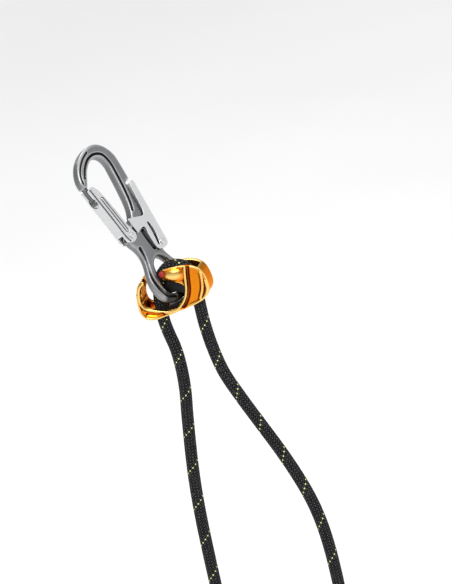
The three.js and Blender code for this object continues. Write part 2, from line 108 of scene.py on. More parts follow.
# ---------------------------------------------------------------- camera
VIEW_AZIMUTH = math.radians(-41)
VIEW_ELEVATION = math.radians(21)
VIEW_ROLL = math.radians(12.4)
VIEW_DISTANCE = 5.64
VIEW_HEIGHT = 0.5078  # of the frame's long side, at the object
SENSOR = 36.0
VIEW_CENTRE = (0.1164, -0.1153)  # right of and above the origin, in the plane of the frame


def make_camera():
    a, e = VIEW_AZIMUTH, VIEW_ELEVATION
    back = Vector((math.sin(a) * math.cos(e), -math.cos(a) * math.cos(e), math.sin(e)))
    level = Vector((math.cos(a), math.sin(a), 0))
    upright = back.cross(level)
    right = math.cos(VIEW_ROLL) * level - math.sin(VIEW_ROLL) * upright
    up = math.cos(VIEW_ROLL) * upright + math.sin(VIEW_ROLL) * level
    data = bpy.data.cameras.new("camera")
    data.sensor_width = SENSOR
    data.lens = SENSOR * VIEW_DISTANCE / VIEW_HEIGHT
    data.clip_end = 100
    camera = bpy.data.objects.new("camera", data)
    bpy.context.scene.collection.objects.link(camera)
    place = Matrix((right, up, back)).transposed().to_4x4()
    place.translation = right * VIEW_CENTRE[0] + up * VIEW_CENTRE[1] + back * VIEW_DISTANCE
    camera.matrix_world = place
    bpy.context.scene.camera = camera


# ---------------------------------------------------------------- meshes
def mesh_object(name, points, faces, normals=None):
    mesh = bpy.data.meshes.new(name)
    mesh.from_pydata(np.asarray(points).tolist(), [], [list(face) for face in faces])
    mesh.shade_smooth()
    if normals is not None:
        mesh.normals_split_custom_set_from_vertices(np.asarray(normals).tolist())
    thing = bpy.data.objects.new(name, mesh)
    bpy.context.scene.collection.objects.link(thing)
    return thing


def placed(points, plane):
    """Points in a plane's own millimetres, as points of the row frame in metres."""
    matrix = np.array(plane)
    return np.asarray(points, float) @ matrix[:3, :3].T + matrix[:3, 3]


def section(node, plane, depth):
    """Where a CAD node crosses the plane at that depth: segments, as pairs of [x, z] in millimetres."""
    shape = bmesh.new()
    shape.from_mesh(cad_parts[node].data)
    shape.transform(plane.inverted())
    cut = bmesh.ops.bisect_plane(
        shape,
        geom=shape.verts[:] + shape.edges[:] + shape.faces[:],
        dist=1e-5,
        plane_co=(0, depth, 0),
        plane_no=(0, 1, 0),
    )
    edges = [item for item in cut["geom_cut"] if isinstance(item, bmesh.types.BMEdge)]
    segments = [[(v.co.x, v.co.z) for v in edge.verts] for edge in edges]
    shape.free()
    return np.array(segments)


class Grid:
    """Sample points of a box in a plane's millimetres, for shapes given as signed distances."""

    def __init__(self, low, high, step=FINE, reach=0.8):
        """The reach is how far round a point its relief is measured."""
        self.step = step
        self.reach = reach
        axes = [np.arange(a, b + self.step, self.step, dtype=np.float32) for a, b in zip(low, high)]
        self.low = np.array([axis[0] for axis in axes])
        self.x = axes[0][:, None, None]
        self.y = axes[1][None, :, None]
        self.z = axes[2][None, None, :]

    def nearest_squared(self, segments):
        """Squared distance in X and Z to the nearest of those segments."""
        x = self.x[:, :, 0]
        z = self.z[:, 0, :]
        nearest = np.full((x.size, z.size), np.inf, np.float32)
        for (ax, az), (bx, bz) in segments:
            ex, ez = bx - ax, bz - az
            along = np.clip(((x - ax) * ex + (z - az) * ez) / (ex * ex + ez * ez + 1e-12), 0, 1)
            nearest = np.minimum(nearest, (x - ax - along * ex) ** 2 + (z - az - along * ez) ** 2)
        return nearest

    def flat_distance(self, segments, soften=0):
        """Signed distance in X and Z to the outline made of those segments, negative inside."""
        x = self.x[:, :, 0]
        z = self.z[:, 0, :]
        inside = np.zeros((x.size, z.size), bool)
        for (ax, az), (bx, bz) in segments:
            if az != bz:
                passed = (min(az, bz) <= z) & (z < max(az, bz))
                inside ^= passed & (x < ax + (z - az) / (bz - az) * (bx - ax))
        distance = np.where(inside, -1, 1) * np.sqrt(self.nearest_squared(segments))
        for _ in range(int(round(soften / self.step))):
            wide = np.pad(distance, 1, mode="edge")
            distance = 0.25 * (wide[:-2, 1:-1] + wide[2:, 1:-1] + wide[1:-1, :-2] + wide[1:-1, 2:])
        return distance[:, None, :].astype(np.float32)

    def route_distance(self, points):
        """Distance in X and Z to a smooth line through the points."""
        line = spline(points, 6)
        return np.sqrt(self.nearest_squared(zip(line[:-1], line[1:])))[:, None, :]

    def tube(self, points, across, radius):
        """A round tube along a smooth line; across is how far each sample lies from the line's level."""
        return np.hypot(self.route_distance(points), across) - radius

    def pin(self, centre, radius, half):
        """A cylinder along Y."""
        around = np.hypot(self.x - centre[0], self.z - centre[1]) - radius
        return np.maximum(around, np.abs(self.y) - half)

    def block(self, low, high):
        """A box between two corners."""
        sides = [self.x - high[0], low[0] - self.x, self.y - high[1], low[1] - self.y]
        field = np.maximum(self.z - high[2], low[2] - self.z)
        for side in sides:
            field = np.maximum(field, side)
        return field

    def ellipsoid(self, centre, radii):
        """Close to the signed distance near the surface."""
        shares = [(a - c) / r for a, c, r in zip((self.x, self.y, self.z), centre, radii)]
        level = np.sqrt(sum(s**2 for s in shares))
        slope = np.sqrt(sum((s / r) ** 2 for s, r in zip(shares, radii)))
        return level * (level - 1) / np.maximum(slope, 1e-6)

    def mesh(self, name, field, plane, shade=1, shine=-1):
        """The surface where the field is zero, with its relief on each vertex.

        The relief is at most the shade and at least the shine: painted shade and painted highlight, which
        make a surface dark or bright for another reason than its shape.
        """
        field = np.broadcast_to(field, (self.x.size, self.y.size, self.z.size)).astype(np.float32)
        inside = field < 0
        corners, points, number = crossed_cells(field, inside)
        rotation = np.array(plane.to_3x3().normalized())
        normals = slopes_at(field, corners, points) @ rotation.T
        places = placed(self.low + points * self.step, plane)
        thing = mesh_object(name, places, crossed_edges(inside, number), normals)
        nearest = tuple(np.rint(points).astype(int).T)
        relief = (self.blurred(field)[nearest] - field[nearest]) / self.reach
        relief = np.maximum(relief, np.broadcast_to(shine, field.shape)[nearest])
        relief = np.minimum(relief, np.broadcast_to(shade, field.shape)[nearest])
        attribute = thing.data.attributes.new("relief", "FLOAT", "POINT")
        attribute.data.foreach_set("value", relief.astype(np.float32))
        return thing

    def blurred(self, field):
        """The field averaged over its reach: lower than the field in hollows, higher on edges."""
        reach = max(1, int(round(self.reach / self.step)))
        width = 2 * reach + 1
        for axis in (0, 1, 2, 0, 1, 2):
            room = [(reach + 1, reach) if a == axis else (0, 0) for a in range(3)]
            run = np.cumsum(np.pad(field, room, mode="edge"), axis=axis, dtype=np.float64)
            ahead = np.take(run, range(width, run.shape[axis]), axis=axis)
            behind = np.take(run, range(run.shape[axis] - width), axis=axis)
            field = ((ahead - behind) / width).astype(np.float32)
        return field


def crossed_cells(field, inside):
    """The cells that a surface crosses: their low corners, a surface point in each, and their numbers."""
    cells = tuple(n - 1 for n in field.shape)
    total = np.zeros(cells + (3,), np.float32)
    count = np.zeros(cells, np.float32)

    def corner(values, offset):
        return values[tuple(slice(o, o + n) for o, n in zip(offset, cells))]

    for axis, first, second in np.ndindex(3, 2, 2):
        start = [first, second]
        start.insert(axis, 0)
        end = list(start)
        end[axis] = 1
        a, b = corner(field, start), corner(field, end)
        crossed = corner(inside, start) != corner(inside, end)
        share = np.where(crossed, a / np.where(crossed, a - b, 1), 0)
        for direction in range(3):
            total[..., direction] += crossed * (share if direction == axis else start[direction])
        count += crossed
    used = count > 0
    number = np.full(cells, -1)
    number[used] = np.arange(int(used.sum()))
    corners = np.argwhere(used)
    return corners, corners + total[used] / count[used][:, None], number


def crossed_edges(inside, number):
    """A face round each grid edge that the surface crosses, through the four cells that share the edge."""
    faces = []
    for axis in range(3):
        second, third = (axis + 1) % 3, (axis + 2) % 3
        ahead = [slice(None)] * 3
        ahead[axis] = slice(1, None)
        behind = [slice(None)] * 3
        behind[axis] = slice(None, -1)
        edges = np.argwhere(inside[tuple(behind)] != inside[tuple(ahead)])
        edges = edges[(edges[:, second] > 0) & (edges[:, third] > 0)]
        edges = edges[(edges[:, second] < number.shape[second]) & (edges[:, third] < number.shape[third])]
        ring = []
        for back_second, back_third in ((1, 1), (0, 1), (0, 0), (1, 0)):
            cell = edges.copy()
            cell[:, second] -= back_second
            cell[:, third] -= back_third
            ring.append(number[tuple(cell.T)])
        ring = np.stack(ring, axis=1)
        leaving = inside[tuple(edges.T)]
        faces.append(np.where(leaving[:, None], ring, ring[:, ::-1]))
    return np.concatenate(faces)


def slopes_at(field, corners, points):
    """The field's unit slopes at points inside the cells that have those low corners."""
    slopes = np.stack(np.gradient(field), axis=-1)
    normals = np.zeros(points.shape, np.float32)
    for offset in np.ndindex(2, 2, 2):
        at = np.minimum(corners + offset, np.array(field.shape) - 1)
        share = np.prod(1 - np.abs(points - at), axis=1)
        normals += slopes[tuple(at.T)] * share[:, None]
    return normals / np.maximum(np.linalg.norm(normals, axis=1, keepdims=True), 1e-9)


def smooth_min(a, b, blend):
    """Two fields joined, with a fillet where they are within the blend of each other."""
    h = np.clip(0.5 + 0.5 * (b - a) / blend, 0, 1)
    return b + (a - b) * h - blend * h * (1 - h)


def smooth_max(a, b, blend):
    """What two fields share; with the second one negated, the first with the second cut out."""
    return -smooth_min(-a, -b, blend)


def extrude(outline, across, half, radius):
    """An outline's distance made solid, half thick each way, with rounded edges."""
    side = outline + radius
    face = np.abs(across) - half + radius
    inner = np.minimum(np.maximum(side, face), 0)
    return inner + np.hypot(np.maximum(side, 0), np.maximum(face, 0)) - radius


def spline(points, per_span):
    """A centripetal Catmull-Rom line through the points, flat or not, with that many steps in each span."""
    points = np.array(points, float)
    points = np.vstack([2 * points[0] - points[1], points, 2 * points[-1] - points[-2]])
    line = []
    for p0, p1, p2, p3 in zip(points, points[1:], points[2:], points[3:]):
        t1 = math.sqrt(np.linalg.norm(p1 - p0))
        t2 = t1 + math.sqrt(np.linalg.norm(p2 - p1))
        t3 = t2 + math.sqrt(np.linalg.norm(p3 - p2))
        for t in np.linspace(t1, t2, per_span, endpoint=False):
            a1 = (t1 - t) / t1 * p0 + t / t1 * p1
            a2 = (t2 - t) / (t2 - t1) * p1 + (t - t1) / (t2 - t1) * p2
            a3 = (t3 - t) / (t3 - t2) * p2 + (t - t2) / (t3 - t2) * p3
            b1 = (t2 - t) / t2 * a1 + t / t2 * a2
            b2 = (t3 - t) / (t3 - t1) * a2 + (t - t1) / (t3 - t1) * a3
            line.append((t2 - t) / (t2 - t1) * b1 + (t - t1) / (t2 - t1) * b2)
    line.append(points[-2])
    return np.array(line)


def quads(rows, columns, ring_of_rows=False):
    """Faces of a grid of points whose columns go round, and whose rows do too for a ring."""
    faces = []
    for row in range(rows if ring_of_rows else rows - 1):
        here, there = row * columns, (row + 1) % rows * columns
        for i in range(columns):
            following = (i + 1) % columns
            faces.append((here + i, here + following, there + following, there + i))
    return faces


def flipped_quads(rows, columns):
    """The same faces, turned to the other side."""
    return [(a, d, c, b) for a, b, c, d in quads(rows, columns)]


def end_caps(rows, columns):
    """The first and the last row of such a grid, as faces."""
    count = rows * columns
    return [list(range(columns)), list(range(count - 1, count - columns - 1, -1))]


def lathe(name, profile, centre, plane, sides=48):
    """A turned piece about Y: the profile is [radius, y] pairs and starts and ends on the axis."""
    profile = np.array(profile, float)
    angles = np.linspace(0, 2 * math.pi, sides, endpoint=False)
    rings = [
        [(centre[0] + r * math.cos(a), y, centre[1] + r * math.sin(a)) for a in angles]
        for r, y in profile[1:-1]
    ]
    points = [p for ring in rings for p in ring]
    first, last = len(points), len(points) + 1
    points += [(centre[0], profile[0][1], centre[1]), (centre[0], profile[-1][1], centre[1])]
    faces = quads(len(rings), sides)
    end = (len(rings) - 1) * sides
    faces += [(first, (i + 1) % sides, i) for i in range(sides)]
    faces += [(last, end + i, end + (i + 1) % sides) for i in range(sides)]
    thing = mesh_object(name, placed(points, plane), faces)
    repair = bmesh.new()
    repair.from_mesh(thing.data)
    bmesh.ops.recalc_face_normals(repair, faces=repair.faces[:])
    repair.to_mesh(thing.data)
    repair.free()
    return thing


# ---------------------------------------------------------------- materials
class Shader:
    """One procedural material on a Principled shader."""

    def __init__(self, name, **settings):
        self.material = bpy.data.materials.new(name)
        self.material.use_nodes = True
        self.tree = self.material.node_tree
        self.tree.nodes.clear()
        self.surface = self.tree.nodes.new("ShaderNodeBsdfPrincipled")
        output = self.tree.nodes.new("ShaderNodeOutputMaterial")
        self.tree.links.new(self.surface.outputs[0], output.inputs["Surface"])
        for socket, value in settings.items():
            self.surface.inputs[socket.replace("_", " ")].default_value = value

    def node(self, kind, inputs=(), **settings):
        made = self.tree.nodes.new("ShaderNode" + kind)
        for key, value in settings.items():
            setattr(made, key, value)
        for socket, value in dict(inputs).items():
            if isinstance(value, bpy.types.NodeSocket):
                self.tree.links.new(value, made.inputs[socket])
            else:
                made.inputs[socket].default_value = value
        return made

    def math(self, operation, *values):
        return self.node("Math", enumerate(values), operation=operation).outputs[0]

    def place(self, stretch=(1, 1, 1)):
        coordinates = self.node("TexCoord")
        return self.node("Mapping", {"Vector": coordinates.outputs["Object"], "Scale": stretch}).outputs[0]

    def noise(self, scale, detail=3, stretch=(1, 1, 1)):
        inputs = {"Vector": self.place(stretch), "Scale": scale, "Detail": detail}
        return self.node("TexNoise", inputs).outputs["Fac"]

    def between(self, value, low, high, source_low=0.3, source_high=0.7):
        inputs = {"Value": value, 1: source_low, 2: source_high, 3: low, 4: high}
        return self.node("MapRange", inputs).outputs[0]

    def mix(self, share, a, b):
        made = self.node("Mix", {"Factor": share}, data_type="RGBA")
        for socket, value in zip(made.inputs[6:8], (a, b)):
            if isinstance(value, bpy.types.NodeSocket):
                self.tree.links.new(value, socket)
            else:
                socket.default_value = (*value, 1)
        return made.outputs[2]

    def relief(self, low, high):
        """From 0 to 1 as a piece's relief goes from low to high: hollows are negative, edges positive."""
        value = self.node("Attribute", attribute_name="relief").outputs["Fac"]
        return self.between(value, 0, 1, low, high)

    def bump(self, height, distance, strength):
        inputs = {"Height": height, "Distance": distance, "Strength": strength}
        return self.node("Bump", inputs).outputs[0]

    def link(self, socket, value):
        self.tree.links.new(value, self.surface.inputs[socket])


def hook_alloy():
    """Satin grey anodised forging: a fine blasted grain, faint patches, paler edges that are partly wear
    and partly painted highlight, and painted black shade in its hollows.
    """
    shader = Shader("hook_alloy", Metallic=0.92)
    patches = shader.between(shader.noise(55, 4), 0, 1)
    flats = shader.mix(patches, (0.19, 0.193, 0.2), (0.24, 0.243, 0.25))
    # paler edges: partly wear, partly painted highlight
    wear_and_highlight = shader.mix(shader.relief(0.02, 0.18), flats, (0.42, 0.425, 0.43))
    # painted black shade in the hollows
    shader.link("Base Color", shader.mix(shader.relief(-0.03, -0.2), wear_and_highlight, (0.012, 0.012, 0.013)))
    shader.link("Roughness", shader.between(shader.noise(220, 3), 0.3, 0.42))
    shader.link("Normal", shader.bump(shader.noise(2600, 2), 0.00004, 0.5))
    return shader.material


def sheet_steel():
    """Bright satin sheet, brushed along its length, with painted highlights on its edges and painted shade
    in its hollows and scored lines.
    """
    shader = Shader("sheet_steel", Metallic=1.0)
    brushed = shader.noise(900, 3, (1, 1, 0.06))
    sheet = shader.mix(shader.between(brushed, 0, 1), (0.64, 0.645, 0.65), (0.68, 0.685, 0.69))
    # painted highlights on the edges
    edges = shader.mix(shader.relief(0.1, 0.4), sheet, (0.82, 0.825, 0.83))
    # painted dark shade in the hollows
    shader.link("Base Color", shader.mix(shader.relief(-0.03, -0.2), edges, (0.03, 0.03, 0.032)))
    shader.link("Roughness", shader.between(shader.noise(300, 3, (1, 1, 0.1)), 0.32, 0.38))
    shader.link("Normal", shader.bump(brushed, 0.00002, 0.03))
    return shader.material


def adjuster_alloy():
    """Glossy orange anodised alloy: a faint tumbled grain, painted golden highlights on its edges and
    painted dark brown shade in its hollows.
    """
    shader = Shader(
        "adjuster_alloy",
        Metallic=1.0,
        Coat_Weight=0.1,
        Coat_Roughness=0.06,
        Specular_Tint=(1, 0.62, 0.25, 1),
    )
    patches = shader.between(shader.noise(60, 4), 0, 1)
    panels = shader.mix(patches, (0.78, 0.215, 0.004), (0.86, 0.26, 0.006))
    # painted golden highlights on the edges
    edge_highlight = shader.mix(shader.relief(0.06, 0.26), panels, (0.98, 0.66, 0.2))
    # painted dark brown shade in the hollows
    shader.link("Base Color", shader.mix(shader.relief(-0.02, -0.1), edge_highlight, (0.07, 0.011, 0.002)))
    shader.link("Roughness", shader.between(shader.noise(350, 3), 0.17, 0.27))
    shader.link("Normal", shader.bump(shader.noise(1500, 2), 0.00003, 0.4))
    return shader.material


def cam_alloy():
    """Black anodised alloy with a fine machined grain, kept near black partly as painted shade for the dark
    inside of the adjuster.
    """
    shader = Shader("cam_alloy", Metallic=0.6)
    grain = shader.noise(1100, 3, (1, 1, 0.2))
    streaks = shader.between(grain, 0, 1)
    shader.link("Base Color", shader.mix(streaks, (0.006, 0.006, 0.007), (0.014, 0.014, 0.015)))
    shader.link("Roughness", shader.between(shader.noise(300, 3), 0.4, 0.55))
    shader.link("Normal", shader.bump(grain, 0.00004, 0.4))
    return shader.material


STRANDS = 12  # each way round the braid
TRACER_PITCH = 35.0  # length of one turn of a strand
TRACER_CREST = 0.72  # a yarn's colour shows where the pillow is higher than this


def rope_sheath():
    """Plain-woven sheath: U runs once round the rope and V counts turns of a strand along it."""
    shader = Shader("rope_sheath", Metallic=0.0, Specular_IOR_Level=0.12)
    place = shader.node("SeparateXYZ", {"Vector": shader.node("UVMap", uv_map="braid").outputs[0]})
    turn, along = place.outputs[0], place.outputs[1]
    left = shader.math("MULTIPLY", shader.math("ADD", turn, along), STRANDS)
    right = shader.math("MULTIPLY", shader.math("SUBTRACT", turn, along), STRANDS)
    cells = shader.math("ADD", shader.math("FLOOR", left), shader.math("FLOOR", right))
    left_on_top = shader.math("FLOORED_MODULO", cells, 2)
    right_share = shader.math("SUBTRACT", 1, left_on_top)
    left_fraction = shader.math("FRACT", left)
    right_fraction = shader.math("FRACT", right)

    # across and along the strand on top, from 0 to 1
    across = shader.math(
        "ADD",
        shader.math("MULTIPLY", left_fraction, left_on_top),
        shader.math("MULTIPLY", right_fraction, right_share),
    )
    length = shader.math(
        "ADD",
        shader.math("MULTIPLY", right_fraction, left_on_top),
        shader.math("MULTIPLY", left_fraction, right_share),
    )
    crown = shader.math("SINE", shader.math("MULTIPLY", across, math.pi))
    arch = shader.math("SINE", shader.math("MULTIPLY", length, math.pi))
    pillow = shader.math("MULTIPLY", shader.math("POWER", crown, 0.5), shader.math("POWER", arch, 0.5))

    # filaments lie along the strand with a slight twist
    twist = shader.math("ADD", shader.math("MULTIPLY", across, 5), shader.math("MULTIPLY", length, 1.5))
    filaments = shader.math("SINE", shader.math("MULTIPLY", twist, 2 * math.pi))

    # one strand of the right-hand set carries the tracer yarn
    strand = shader.math("FLOORED_MODULO", shader.math("FLOOR", right), STRANDS)
    is_tracer = shader.math("LESS_THAN", strand, 0.5)
    middle = shader.math("GREATER_THAN", pillow, TRACER_CREST)
    tracer = shader.math("MULTIPLY", shader.math("MULTIPLY", is_tracer, right_share), middle)

    speck = shader.between(shader.noise(900, 2), 0, 1, 0.56, 0.7)
    fleck = shader.math("MULTIPLY", speck, pillow)
    # painted light: one set of strands is lighter, and the yarns' tops are painted highlight over painted
    # shade in the gaps
    facing = shader.between(left_on_top, 0.3, 1, 0, 1)  # one set of strands catches more light
    crest_highlight = shader.math("MULTIPLY", shader.between(pillow, 0, 1, 0.55, 1), facing)
    yarn = shader.mix(crest_highlight, (0.0008, 0.0008, 0.001), (0.1, 0.1, 0.11))
    black = shader.mix(fleck, yarn, (0.15, 0.15, 0.155))
    shader.link("Base Color", shader.mix(tracer, black, (0.95, 1.0, 0.38)))
    shader.link("Roughness", shader.between(filaments, 0.5, 0.72, -1, 1))
    strands = shader.math("MULTIPLY", pillow, 0.7)
    height = shader.math("ADD", strands, shader.math("MULTIPLY", filaments, 0.12))
    shader.link("Normal", shader.bump(height, 0.0006, 1.0))
    return shader.material


def sleeve_film():
    """Shrunk rubber film: satin black with fine creases."""
    shader = Shader("sleeve_film", Metallic=0.0)
    creases = shader.noise(240, 5, (1, 1, 0.25))
    folds = shader.between(creases, 0, 1)
    shader.link("Base Color", shader.mix(folds, (0.012, 0.012, 0.013), (0.03, 0.03, 0.032)))
    shader.link("Roughness", shader.between(shader.noise(420, 4), 0.38, 0.58))
    shader.link("Normal", shader.bump(creases, 0.0004, 0.5))
    return shader.material


def moulded(name, dark, light, roughness):
    """Moulded plastic with a fine spark-eroded grain."""
    shader = Shader(name, Metallic=0.0)
    shader.link("Base Color", shader.mix(shader.between(shader.noise(160, 3), 0, 1), dark, light))
    shader.link("Roughness", shader.between(shader.noise(500, 3), roughness - 0.06, roughness + 0.06))
    shader.link("Normal", shader.bump(shader.noise(2200, 2), 0.00005, 0.4))
    return shader.material


MATERIALS = {
    "hook_alloy": hook_alloy(),
    "sheet_steel": sheet_steel(),
    "adjuster_alloy": adjuster_alloy(),
    "cam_alloy": cam_alloy(),
    "rope_sheath": rope_sheath(),
    "sleeve_film": sleeve_film(),
    "thimble_plastic": moulded("thimble_plastic", (0.03, 0.03, 0.032), (0.055, 0.055, 0.058), 0.42),
    "keeper_plastic": moulded("keeper_plastic", (0.3, 0.006, 0.005), (0.4, 0.011, 0.009), 0.3),
}


def dress(thing, slot, body, *nodes):
    """Gives a finished piece its material and its body, and hides the CAD nodes that it stands for."""
    thing.data.materials.clear()
    thing.data.materials.append(MATERIALS[slot])
    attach(thing, body)
    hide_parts(*nodes)
    return thing


# ---------------------------------------------------------------- rope
TAIL_TOP = -16.5
LEAD_TOP = -8
TURN_ROUTE = [
    (-16.2, TAIL_TOP + 0.1), (-15.8, -6), (-14, 4), (-10, 14.2), (-3.4, 21.1),
    (4.2, 23.3), (11.6, 21.4), (17, 15.4), (18.8, 6), (18.8, LEAD_TOP + 0.1),
]
TAIL_ROUTE = [
    (-16.3, TAIL_TOP), (-16.4, -26), (-14.8, -38), (-11.6, -54), (-10.4, -72),
    (-11.2, -94), (-14.2, -117), (-17, -140), (-19.6, -164), (-21.6, -190),
    (-22.8, -220), (-23.2, -255), (-23.2, -290),
]
LEAD_ROUTE = [
    (18.8, LEAD_TOP), (18.8, -20), (19.2, -34), (21.8, -58), (27, -82),
    (37.6, -108), (50, -135), (62.4, -162), (72.8, -188), (80.4, -212),
    (85, -236), (87.2, -260), (88, -285), (88, -310), (88, -332),
]
EYE_TOP = (LEAD_ROUTE[-1][0], LEAD_ROUTE[-1][1] - LEAD_SLEEVE_LENGTH - 2 * GAP)
EYE_MOUTH = ROPE_DIAMETER / 2 + 0.4  # from the middle of the sewn eye's mouth to each of its falls
EYE_ARC = 105  # degrees of round rope each way from the eye's foot
ROPE_SIDES = 72
ROPE_STEP = 0.5
BRAID_RELIEF = 0.22
TRACER_AT_TAIL = 0.33  # where the tracer stands at the start of each run, in turns
TRACER_AT_TURN = 0.05
TRACER_AT_LEAD = 0.93
TRACER_AT_EYE = 0.1


def eye_route():
    """The sewn eye: down one side, round the thimble and up the other."""
    arc = np.radians(np.linspace(-EYE_ARC, EYE_ARC, 13))
    loop = [(EYE_RADIUS * math.sin(a), -EYE_DROP - EYE_RADIUS * math.cos(a)) for a in arc]
    falls = [(EYE_MOUTH, 0), (EYE_MOUTH, -4), (EYE_MOUTH + 0.8, -10)]
    points = [(-x, z) for x, z in falls] + loop + falls[::-1]
    return [(EYE_TOP[0] + x, EYE_TOP[1] + z) for x, z in points]


def evenly(route, step):
    """The smooth line of a route in the adjuster's plane, at even distances, and those distances."""
    line = spline(route, 24)
    run = np.concatenate([[0], np.cumsum(np.linalg.norm(np.diff(line, axis=0), axis=1))])
    count = max(2, int(round(run[-1] / step)))
    at = np.linspace(0, run[-1], count + 1)
    return np.stack([np.interp(at, run, line[:, i]) for i in (0, 1)], axis=1), at


def braid_height(turn, along):
    """Height of the weave from 0 to 1, at turns round the rope and turns of a strand along it."""
    left, right = STRANDS * (turn + along), STRANDS * (turn - along)
    left_fraction, right_fraction = left % 1, right % 1
    crown = np.sin(math.pi * left_fraction) * np.sin(math.pi * right_fraction)
    left_on_top = (np.floor(left) + np.floor(right)) % 2
    across = np.where(left_on_top, left_fraction, right_fraction)
    return np.sqrt(crown) * 0.8 + 0.2 * np.sin(math.pi * across)


def rope(name, node, route, start_turns):
    """A braided run of rope, its path and its length. The start is where the tracer stands, in turns."""
    centre, run = evenly(route, ROPE_STEP)
    tangent = np.gradient(centre, axis=0)
    tangent /= np.linalg.norm(tangent, axis=1, keepdims=True)
    sideways = np.stack([tangent[:, 1], -tangent[:, 0]], axis=1)
    turns = start_turns + run / TRACER_PITCH
    share = np.arange(ROPE_SIDES) / ROPE_SIDES
    height = braid_height(share[None, :], turns[:, None])
    radius = ROPE_DIAMETER / 2 - BRAID_RELIEF * (1 - height)
    angle = 2 * math.pi * share[None, :]
    out = radius * np.cos(angle)
    x = centre[:, :1] + sideways[:, :1] * out
    z = centre[:, 1:] + sideways[:, 1:] * out
    points = np.stack([x, radius * np.sin(angle), z], axis=-1).reshape(-1, 3)
    rings = len(centre)
    faces = flipped_quads(rings, ROPE_SIDES) + end_caps(rings, ROPE_SIDES)
    thing = mesh_object(name, placed(points, ADJUSTER_PLANE), faces)

    column = np.arange(ROPE_SIDES)
    u = np.stack([column, column, column + 1, column + 1], axis=-1) / ROPE_SIDES
    v = np.stack([turns[:-1], turns[1:], turns[1:], turns[:-1]], axis=-1)
    walls = (rings - 1, ROPE_SIDES, 4)
    count = math.prod(walls)
    coordinates = np.zeros((len(thing.data.loops), 2), np.float32)
    coordinates[:count, 0] = np.broadcast_to(u, walls).ravel()
    coordinates[:count, 1] = np.broadcast_to(v[:, None], walls).ravel()
    coordinates[count:, 1] = 0.5 / STRANDS  # the cut ends are plain black
    thing.data.uv_layers.new(name="braid").data.foreach_set("uv", coordinates.ravel())

    path = placed(np.stack([centre[:, 0], 0 * run, centre[:, 1]], axis=1), ADJUSTER_PLANE)
    dress(thing, "rope_sheath", "adjuster", node)
    return thing, path, run[-1]


def make_ropes():
    """The rope's four runs. The turn inside the adjuster and the sewn eye are not free cords."""
    tail = rope("braided_tail", "rope_tail", TAIL_ROUTE, TRACER_AT_TAIL)
    rope("braided_turn", "rope_turn", TURN_ROUTE, TRACER_AT_TURN)
    lead = rope("braided_lead", "rope_lead", LEAD_ROUTE, TRACER_AT_LEAD)
    eye = rope("braided_eye", "lead_eye", eye_route(), TRACER_AT_EYE)
    return tail, lead, eye[0]


SLEEVE_SIDES = 96
SLEEVE_RINGS = 120
LIP = (0.16, 1.2)  # share of its thickness that a sleeve loses at its ends, and over what depth
STITCH = (0.18, 4.5, 5)  # height and pitch of the stitching's rings, and how far they stay from the ends
SEAM = (0.9, 0.22)  # depth and width of the valley between the two falls under the film


def make_sleeve(name, node, route, length):
    """Film shrunk over two falls below a route's end, with a valley between them and rings of stitching."""
    top_x, top_z = route[-1][0], route[-1][1] - GAP
    half = SLEEVE_THICK / 2
    flat = SLEEVE_WIDTH / 2 - half
    height, pitch, margin = STITCH
    angles = np.linspace(0, 2 * math.pi, SLEEVE_SIDES, endpoint=False)
    points = []
    for ring in range(SLEEVE_RINGS + 1):
        depth = ring / SLEEVE_RINGS * length
        lip = 1 - LIP[0] * math.exp(-min(depth, length - depth) / LIP[1])
        stitch = height * math.sin(2 * math.pi * depth / pitch) if margin < depth < length - margin else 0
        for a in angles:
            valley = SEAM[0] * math.exp(-((math.cos(a)) / SEAM[1]) ** 2)
            reach = half * lip - valley + stitch * abs(math.sin(a))
            x = top_x + flat * math.tanh(6 * math.cos(a)) + reach * math.cos(a)
            points.append((x, reach * math.sin(a), top_z - depth))
    rings = SLEEVE_RINGS + 1
    faces = flipped_quads(rings, SLEEVE_SIDES) + end_caps(rings, SLEEVE_SIDES)
    thing = mesh_object(name, placed(points, ADJUSTER_PLANE), faces)
    return dress(thing, "sleeve_film", "adjuster", node)


THIMBLE_SIDES = 96
THIMBLE_GROOVE = 0.55  # half width of the thimble's groove as a share of the rope's radius


def make_thimble():
    """A ring with rounded lips and a hollow round its outside, where the rope lies."""
    outer = EYE_RADIUS - ROPE_DIAMETER / 2 - GAP
    half = THIMBLE_THICK / 2
    hollow = ROPE_DIAMETER / 2 * THIMBLE_GROOVE
    centre = (EYE_TOP[0], EYE_TOP[1] - EYE_DROP)
    lip = [
        (THIMBLE_INNER, -half + 1.2), (THIMBLE_INNER + 0.5, -half + 0.3), (THIMBLE_INNER + 1.2, -half),
        (outer - 0.9, -half), (outer - 0.2, -half + 0.8),
    ]
    groove = [(outer - 0.7 * math.cos(a), hollow * math.sin(a)) for a in np.linspace(-1.4, 1.4, 9)]
    profile = lip + groove + [(r, -y) for r, y in reversed(lip)]
    points = []
    for i in range(THIMBLE_SIDES):
        a = 2 * math.pi * i / THIMBLE_SIDES
        points += [(centre[0] + r * math.cos(a), y, centre[1] + r * math.sin(a)) for r, y in profile]
    faces = quads(THIMBLE_SIDES, len(profile), ring_of_rows=True)
    thing = mesh_object("thimble", placed(points, ADJUSTER_PLANE), faces)
    return dress(thing, "thimble_plastic", "adjuster", "eye_thimble")


